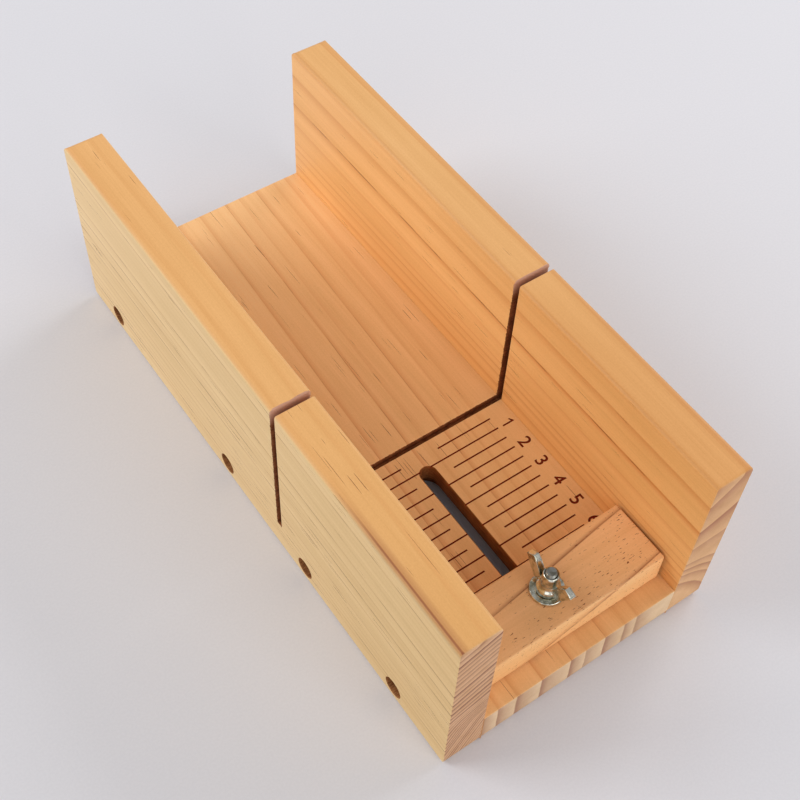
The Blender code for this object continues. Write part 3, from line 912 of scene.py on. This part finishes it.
def make_bed(wood, kerf_material, scorch, slot_material):
    low = base_low.copy()
    high = base_high.copy()
    low.x = left_high.x + BED_SIDE_GAP
    high.x = right_low.x - BED_SIDE_GAP
    mesh = painted(rounded_box("bed_board", low, high, bed_radius, segments=6), wood)
    pilots = joined("pilots", [pilot_hole(side, screw) for side in (-1, 1) for screw in screws_of(side)])
    engraving = painted(scale_engraving(), scorch)
    cutters = [painted(bed_kerf(low, high), kerf_material), engraving]
    cutters += [painted(cutter, slot_material) for cutter in (*slot_cutters(low.z), pilots)]
    mesh = cut_with(mesh, cutters, self_crossing=engraving)
    return place_piece(smooth_piece(mesh, "bed_board"), "trough", "base_pine", "base_board")


def clamp_axis():
    low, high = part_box("upper_washer")
    return (low.x + high.x) / 2, (low.y + high.y) / 2


def make_block(wood, bore_material):
    low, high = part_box("stop_block")
    mesh = painted(rounded_box("stop_bar", low, high, lambda sides: BLOCK_EASE, segments=5), wood)
    radius = BOLT_RADIUS + HOLE_CLEARANCE
    top, bottom = high.z + CUT_MARGIN, low.z - CUT_MARGIN
    bore = turned("bore", [(0.0, top), (radius, top), (radius, bottom), (0.0, bottom)], 40)
    bore.transform(Matrix.Translation((*clamp_axis(), 0)))
    mesh = cut_with(mesh, [painted(bore, bore_material)])
    return place_piece(smooth_piece(mesh, "stop_bar"), "stop", "block_pine", "stop_block")


# ==== Hardware ====

def thread_radius(turn, outer, depth):
    """Radius of a screw thread where turn is the place in its pitch, 0 to 1."""
    root, flank = 0.16, 0.70  # shares of half a pitch
    rise = 1 - abs(2 * turn - 1)
    share = min(1.0, max(0.0, (rise - root) / flank))
    return outer - depth * (1 - share)


def threaded(name, z_low, z_high, outer, depth, pitch, end_chamfer, taper=None, around=40, per_pitch=8):
    """A threaded rod with flat ends; taper(z) limits the radius near a point."""
    count = int(math.ceil((z_high - z_low) / (pitch / per_pitch)))
    bm = bmesh.new()
    rings = []
    for level in range(count + 1):
        z = z_low + (z_high - z_low) * level / count
        limit = outer - max(0.0, end_chamfer - (z_high - z))
        if taper:
            limit = min(limit, taper(z))
        ring = []
        for step in range(around):
            turn = (z / pitch - step / around) % 1.0
            radius = max(0.02 * MM, min(limit, thread_radius(turn, min(outer, limit + depth), depth)))
            angle = math.tau * step / around
            ring.append(bm.verts.new((radius * math.cos(angle), radius * math.sin(angle), z)))
        rings.append(ring)
    return closed_rings(bm, rings, name)


def hex_head(name, across_flats, z_low, z_high):
    """A bolt head: a hexagon whose corners are turned off at 30 degrees."""
    bm = bmesh.new()
    radius = across_flats / math.sqrt(3)
    height = z_high - z_low
    bmesh.ops.create_cone(
        bm, cap_ends=True, segments=6, radius1=radius, radius2=radius, depth=height,
        matrix=Matrix.Translation((0, 0, (z_low + z_high) / 2)),
    )
    flat = across_flats / 2 * 0.95
    past = radius * 1.01
    drop = (radius - flat) * math.tan(math.radians(30))
    profile = [(0.0, z_high), (past, z_high), (past, z_low + drop), (flat, z_low), (0.0, z_low)]
    turning = turned("turning", profile, 96)
    return cut_with(mesh_of(bm, name), [turning], "INTERSECT")


def rim_rounded(radius, top, bottom, bore):
    """Profile of a stamped washer: rolled upper rim, sharper lower one."""
    roll = (top - bottom) * 0.35
    burr, bore_ease, steps = 0.08 * MM, 0.1 * MM, 5
    profile = [(bore + bore_ease, top)]
    for k in range(steps + 1):
        angle = math.pi / 2 * k / steps
        profile.append((radius - roll + roll * math.sin(angle), top - roll + roll * math.cos(angle)))
    profile += [(radius, bottom + burr), (radius - burr, bottom), (bore, bottom), (bore, top - bore_ease)]
    return profile


def make_washer(name, node, body, metal):
    low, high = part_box(node)
    profile = rim_rounded((high.x - low.x) / 2, high.z, low.z, BOLT_RADIUS + HOLE_CLEARANCE)
    mesh = painted(turned(name, profile, 96), metal)
    mesh.transform(Matrix.Translation((*clamp_axis(), 0)))
    return place_piece(smooth_piece(mesh, name), body, "zinc_steel", node)


def make_bolt(metal):
    low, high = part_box("stop_bolt")
    head_top = low.z + HEAD_HEIGHT
    inside_head = 0.5 * MM
    rod = threaded(
        "rod", head_top - inside_head, high.z, BOLT_RADIUS, THREAD_DEPTH, THREAD_PITCH, BOLT_END_CHAMFER,
    )
    head = hex_head("head", HEAD_ACROSS_FLATS, low.z, head_top)
    mesh = painted(joined("clamp_bolt", [rod, head]), metal)
    mesh.transform(Matrix.Translation((*clamp_axis(), 0)))
    return place_piece(smooth_piece(mesh, "clamp_bolt", weighted=False), "bolt", "zinc_steel", "stop_bolt")


def catmull(points, per_span):
    """A smooth closed outline through the points."""
    smooth = []
    count = len(points)
    for k in range(count):
        p0, p1, p2, p3 = (Vector(points[(k + d) % count]) for d in (-1, 0, 1, 2))
        for step in range(per_span):
            t = step / per_span
            smooth.append(0.5 * (
                2 * p1 + (p2 - p0) * t + (2 * p0 - 5 * p1 + 4 * p2 - p3) * t * t
                + (3 * p1 - p0 - 3 * p2 + p3) * t * t * t
            ))
    return smooth


def wing(side):
    """One ear of the nut: a leaning bar with a flat slanted tip, thicker at its root."""
    points = catmull([(y * MM, z * MM) for y, z in WING_OUTLINE], 3)
    root, thinner_by, tip_height = 1.12, 0.28, 11 * MM  # shares of the thickness
    bm = bmesh.new()
    sheets = []
    for face in (-1, 1):
        sheet = []
        for y, z in points:
            half = WING_THICKNESS / 2 * (root - thinner_by * z / tip_height)
            sheet.append(bm.verts.new((face * half, side * y, z)))
        sheets.append(sheet)
    return closed_rings(bm, sheets, "wing")


def make_wing_nut(metal):
    """Hub and ears melted together like a casting, then bored."""
    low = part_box("wing_nut")[0]
    hub = turned("hub", [(radius * MM, height * MM) for radius, height in NUT_HUB], 72)
    body = object_of(cut_with(hub, [wing(1), wing(-1)], "UNION"), "cast_nut")
    remesh = body.modifiers.new("Cast", "REMESH")
    remesh.mode = "VOXEL"
    remesh.voxel_size = CAST_VOXEL
    relax = body.modifiers.new("Relax", "SMOOTH")
    relax.factor = 0.5
    relax.iterations = 5
    cast = evaluated_mesh(body)
    top, mouth = NUT_HEIGHT * MM, NUT_BORE + NUT_BORE_CHAMFER
    bore = turned("bore", [
        (0.0, top + CUT_MARGIN), (mouth, top + CUT_MARGIN), (mouth, top - 0.02 * MM),
        (NUT_BORE, top - NUT_BORE_CHAMFER), (NUT_BORE, -CUT_MARGIN), (0.0, -CUT_MARGIN),
    ], 48)
    cast = painted(cut_with(cast, [bore]), metal)
    cast.transform(
        Matrix.Translation((*clamp_axis(), low.z)) @ Matrix.Rotation(NUT_TURN_AT_REST, 4, "Z"),
    )
    piece = smooth_piece(cast, "cast_wing_nut", angle=45, weighted=False)
    return place_piece(piece, "nut", "zinc_steel", "wing_nut")


def cross_recess(top, depth):
    """The tool for a cross recess: two tapered blades."""
    blades = []
    for turn in (0.0, math.pi / 2):
        bm = bmesh.new()
        bmesh.ops.create_cube(bm, size=1.0)
        for vertex in bm.verts:
            lower = vertex.co.z < 0
            length, width = (1.4, 0.5) if lower else (3.6, 0.85)
            vertex.co.x *= length * MM
            vertex.co.y *= width * MM
            vertex.co.z = top - depth if lower else top + 0.5 * MM
        bmesh.ops.rotate(bm, verts=bm.verts, matrix=Matrix.Rotation(turn, 3, "Z"))
        blades.append(mesh_of(bm, "blade"))
    return cut_with(blades[0], [blades[1]], "UNION")


def screw_shape():
    """A pan-head wood screw: point down, underside of the head at 0."""
    profile = [(0.0, SCREW_HEAD_HEIGHT)]
    for degrees in (15, 28, 40, 52, 64, 76, 84, 90):
        angle = math.radians(degrees)
        height = SCREW_HEAD_HEIGHT * (0.42 + 0.58 * math.cos(angle))
        profile.append((SCREW_HEAD_RADIUS * math.sin(angle), height))
    profile += [(SCREW_HEAD_RADIUS, 0.3), (SCREW_HEAD_RADIUS - 0.1, 0.0), (0.0, 0.0)]
    cap = turned("cap", [(radius * MM, height * MM) for radius, height in profile], 56)
    cap = cut_with(cap, [cross_recess(SCREW_HEAD_HEIGHT * MM, CROSS_RECESS_DEPTH)])

    def taper(z):
        return SHANK_RADIUS * min(1.0, max(0.03, (z + SCREW_LENGTH) / SCREW_POINT))

    shank = threaded(
        "shank", -SCREW_LENGTH, 0.2 * MM, SHANK_RADIUS, SCREW_THREAD_DEPTH, SCREW_PITCH, 0.0,
        taper=taper, around=24, per_pitch=9,
    )
    return joined("wood_screw", [cap, shank])


def make_screws(metal):
    shape = screw_shape()
    for side, word in ((-1, "left"), (1, "right")):
        for number, node in enumerate(screws_of(side), start=1):
            low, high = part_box(node)
            seat = (high.x if side > 0 else -low.x) - SCREW_HEAD_HEIGHT * MM
            mesh = painted(shape.copy(), metal)
            spin = Matrix.Rotation(math.radians(37 * number + 20 * side), 4, "Z")
            turn = Matrix.Rotation(side * math.pi / 2, 4, "Y")
            middle = ((low.y + high.y) / 2, (low.z + high.z) / 2)
            mesh.transform(Matrix.Translation((side * seat, *middle)) @ turn @ spin)
            piece = smooth_piece(mesh, f"{word}_wood_screw_{number}", weighted=False)
            place_piece(piece, "trough", "screw_steel", node)


# ==== Stage ====

PAPER_DARK = (0.715, 0.705, 0.735, 1)
PAPER_PALE = (0.735, 0.725, 0.755, 1)
AIM = (0, 0, 0.03)  # what every lamp points at
SOFTBOXES = [  # (name, place, size, watts)
    ("far_left", (-1.0, 0.75, 0.9), (0.8, 0.8), 9.6),
    ("front_left", (-2.4, -2.6, 2.2), (2.4, 2.4), 19.0),
    ("front", (0.3, -3.6, 1.8), (2.4, 2.4), 46.0),
    ("right", (1.3, 0.1, 0.8), (1.0, 0.8), 10.6),
]
ROOM_COLOUR = (0.97, 0.975, 1.0, 1.0)
ROOM_STRENGTH = 0.41

CAMERA_PLACE = (-0.17044, -0.23347, 0.41839)
CAMERA_AZIMUTH = math.radians(-37.83)
CAMERA_ELEVATION = math.radians(53.94)
CAMERA_ROLL = math.radians(3.434)
CAMERA_LENS = 59.62  # millimetres, on a sensor 36 wide


def make_floor():
    bm = bmesh.new()
    bmesh.ops.create_grid(bm, x_segments=1, y_segments=1, size=4.0)
    floor = object_of(mesh_of(bm, "studio_floor"), "studio_floor")
    floor.location.z = -0.05 * MM
    shader = Shader("studio_paper")
    tooth = shader.noise(shader.scaled(shader.millimetres(), 1.1, 1.1, 0.0), detail=2.0)
    paper = shader.mix(shader.step(tooth, 0.3, 0.7), PAPER_DARK, PAPER_PALE)
    shader.set(Base_Color=paper, Roughness=0.85, Specular_IOR_Level=0.1)
    painted(floor.data, shader.material)


def make_softbox(name, place, size, watts):
    light = bpy.data.lights.new(name, "AREA")
    light.shape = "RECTANGLE"
    light.size, light.size_y = size
    light.energy = watts
    lamp = bpy.data.objects.new(name, light)
    bpy.context.scene.collection.objects.link(lamp)
    lamp.location = place
    lamp.rotation_mode = "QUATERNION"
    lamp.rotation_quaternion = (Vector(AIM) - Vector(place)).to_track_quat("-Z", "Y")


def make_light():
    """A dim pale room and large soft lamps: in front, at the left, behind and at the right."""
    world = bpy.data.worlds.new("studio")
    world.use_nodes = True
    background = world.node_tree.nodes["Background"]
    background.inputs["Color"].default_value = ROOM_COLOUR
    background.inputs["Strength"].default_value = ROOM_STRENGTH
    bpy.context.scene.world = world
    for softbox in SOFTBOXES:
        make_softbox(*softbox)


def make_camera():
    level = math.cos(CAMERA_ELEVATION)
    look = Vector((
        -math.sin(CAMERA_AZIMUTH) * level, math.cos(CAMERA_AZIMUTH) * level, -math.sin(CAMERA_ELEVATION),
    ))
    data = bpy.data.cameras.new("camera")
    data.lens = CAMERA_LENS
    data.sensor_width = 36.0
    data.clip_start = 0.01
    camera = bpy.data.objects.new("camera", data)
    bpy.context.scene.collection.objects.link(camera)
    camera.location = CAMERA_PLACE
    camera.rotation_mode = "QUATERNION"
    turn = look.to_track_quat("-Z", "Y").to_matrix() @ Matrix.Rotation(CAMERA_ROLL, 3, "Z")
    camera.rotation_quaternion = turn.to_quaternion()
    bpy.context.scene.camera = camera
    bpy.context.scene.view_settings.view_transform = "Standard"


# ==== Assembly ====

# Growth rings and stains are laid out in millimetres, from the boards' own edges.
left_outer = left_low.x / MM
left_top = left_high.z / MM
right_inner = right_low.x / MM

# Below, the sun pairs are painted shade on upward faces, and the drift tints are painted shade towards the
# near end, partly the wood's own tone.
left_pine = pine(
    "left_pine",
    growth=kinked_growth(left_outer, slope_high=-0.43, slope_low=-1.83, low=22.0, high=38.0),
    rings=even_rings(3.3, seed=3.0),
    colours=(srgb(242, 207, 152), srgb(220, 174, 114), srgb(230, 184, 146), srgb(146, 92, 68)),
    canals=(0.06, 0.81), seed=3.0, wander=1.6,
    top_shade=(srgb(236, 179, 114), srgb(218, 148, 82)),
    near_end_shade_and_tone=(-110.0, 60.0, srgb(246, 243, 234)),
    stain=(left_outer + 1.3, left_top - 0.4, -76.0, -44.0),
)
right_pine = pine(
    "right_pine",
    growth=flat_growth(0.0, 1.0, twist=-0.03, middle=(right_inner + 7.0, 45.0)),
    rings=listed_rings(
        (-36.0, -28.0, -21.0, -16.5, -12.0, 0.0, 13.0, 31.0, 46.0),
        (0.8, 0.7, 0.9, 0.7, 0.6, 1.0, 0.8, 1.0), late_width=3.6,
    ),
    colours=(srgb(250, 198, 132), srgb(214, 136, 70), srgb(240, 200, 158), srgb(182, 124, 96)),
    canals=(0.055, 0.81), seed=11.0,
    top_shade=(srgb(234, 178, 114), srgb(214, 146, 80)),
    near_end_shade_and_tone=(-120.0, 70.0, srgb(243, 230, 212)),
)
bed_pine = pine(
    "bed_pine",
    growth=flat_growth(-1.0, -0.04, slope_along=0.045, middle=(-5.22, 16.6)),
    rings=listed_rings(
        (-44.0, -34.7, -29.2, -20.4, -12.2, -5.7, 6.8, 17.2, 25.0, 32.5, 44.0),
        (0.7, 0.8, 0.9, 0.6, 0.9, 0.9, 0.9, 0.8, 1.0, 0.8), late_width=1.5,
    ),
    colours=(srgb(254, 204, 144), srgb(222, 144, 80), srgb(252, 224, 186), srgb(172, 116, 92)),
    canals=(0.05, 0.785), seed=23.0, wander=0.8, soft=0.75,
    near_end_shade_and_tone=(-40.0, 110.0, srgb(238, 230, 222)),
)
block_pine = pine(
    "block_pine",
    growth=flat_growth(-1.0, -0.38, slope_along=0.13),
    rings=listed_rings((60.0, 83.6, 104.3, 125.0), (1.0, 1.0, 1.0), late_width=0.9),
    colours=(srgb(255, 198, 134), srgb(204, 128, 78), srgb(226, 190, 160), srgb(170, 120, 98)),
    canals=(0.6, 0.765), along="X", seed=31.0, wander=1.6,
    top_shade=(srgb(236, 177, 120), srgb(150, 84, 46)),
)
# The kerf's paler colour near the top is painted light falling in at its mouth; deeper down it stays
# darker.
kerf_wood = sawn_wood(
    "sawn_kerf", srgb(164, 100, 60), srgb(100, 52, 26), along_saw=(0.6, 3.0, 3.0),
    mouth=(72.0, 80.0, srgb(220, 172, 144)),
)
bore_wood = sawn_wood("drilled_wood", srgb(190, 130, 80), srgb(110, 62, 30), along_saw=(0.5, 2.5, 2.5))
slot_wood = sawn_wood("routed_slot", srgb(170, 104, 54), srgb(122, 68, 32), along_saw=(1.6, 0.1, 1.6))
scorch = scorched_wood("scorched_scale", srgb(112, 28, 8), srgb(146, 50, 16))
zinc = plated_metal("bright_zinc", (0.72, 0.71, 0.62, 1), (0.36, 0.35, 0.27, 1), roughness=0.16)
bolt_zinc = plated_metal("dull_zinc", (0.34, 0.34, 0.31, 1), (0.17, 0.17, 0.14, 1), roughness=0.32)
screw_zinc = plated_metal("screw_zinc", (0.66, 0.64, 0.60, 1), (0.42, 0.39, 0.35, 1), roughness=0.30)

make_wall("left_side_board", "left_wall", -1, left_pine, kerf_wood, bore_wood)
make_wall("right_side_board", "right_wall", 1, right_pine, kerf_wood, bore_wood)
make_bed(bed_pine, kerf_wood, scorch, slot_wood)
make_block(block_pine, bore_wood)
make_washer("clamp_washer_above", "upper_washer", "carriage", zinc)
make_washer("clamp_washer_below", "lower_washer", "bolt", zinc)
make_bolt(bolt_zinc)
make_wing_nut(zinc)
make_screws(screw_zinc)
make_floor()
make_light()
make_camera()
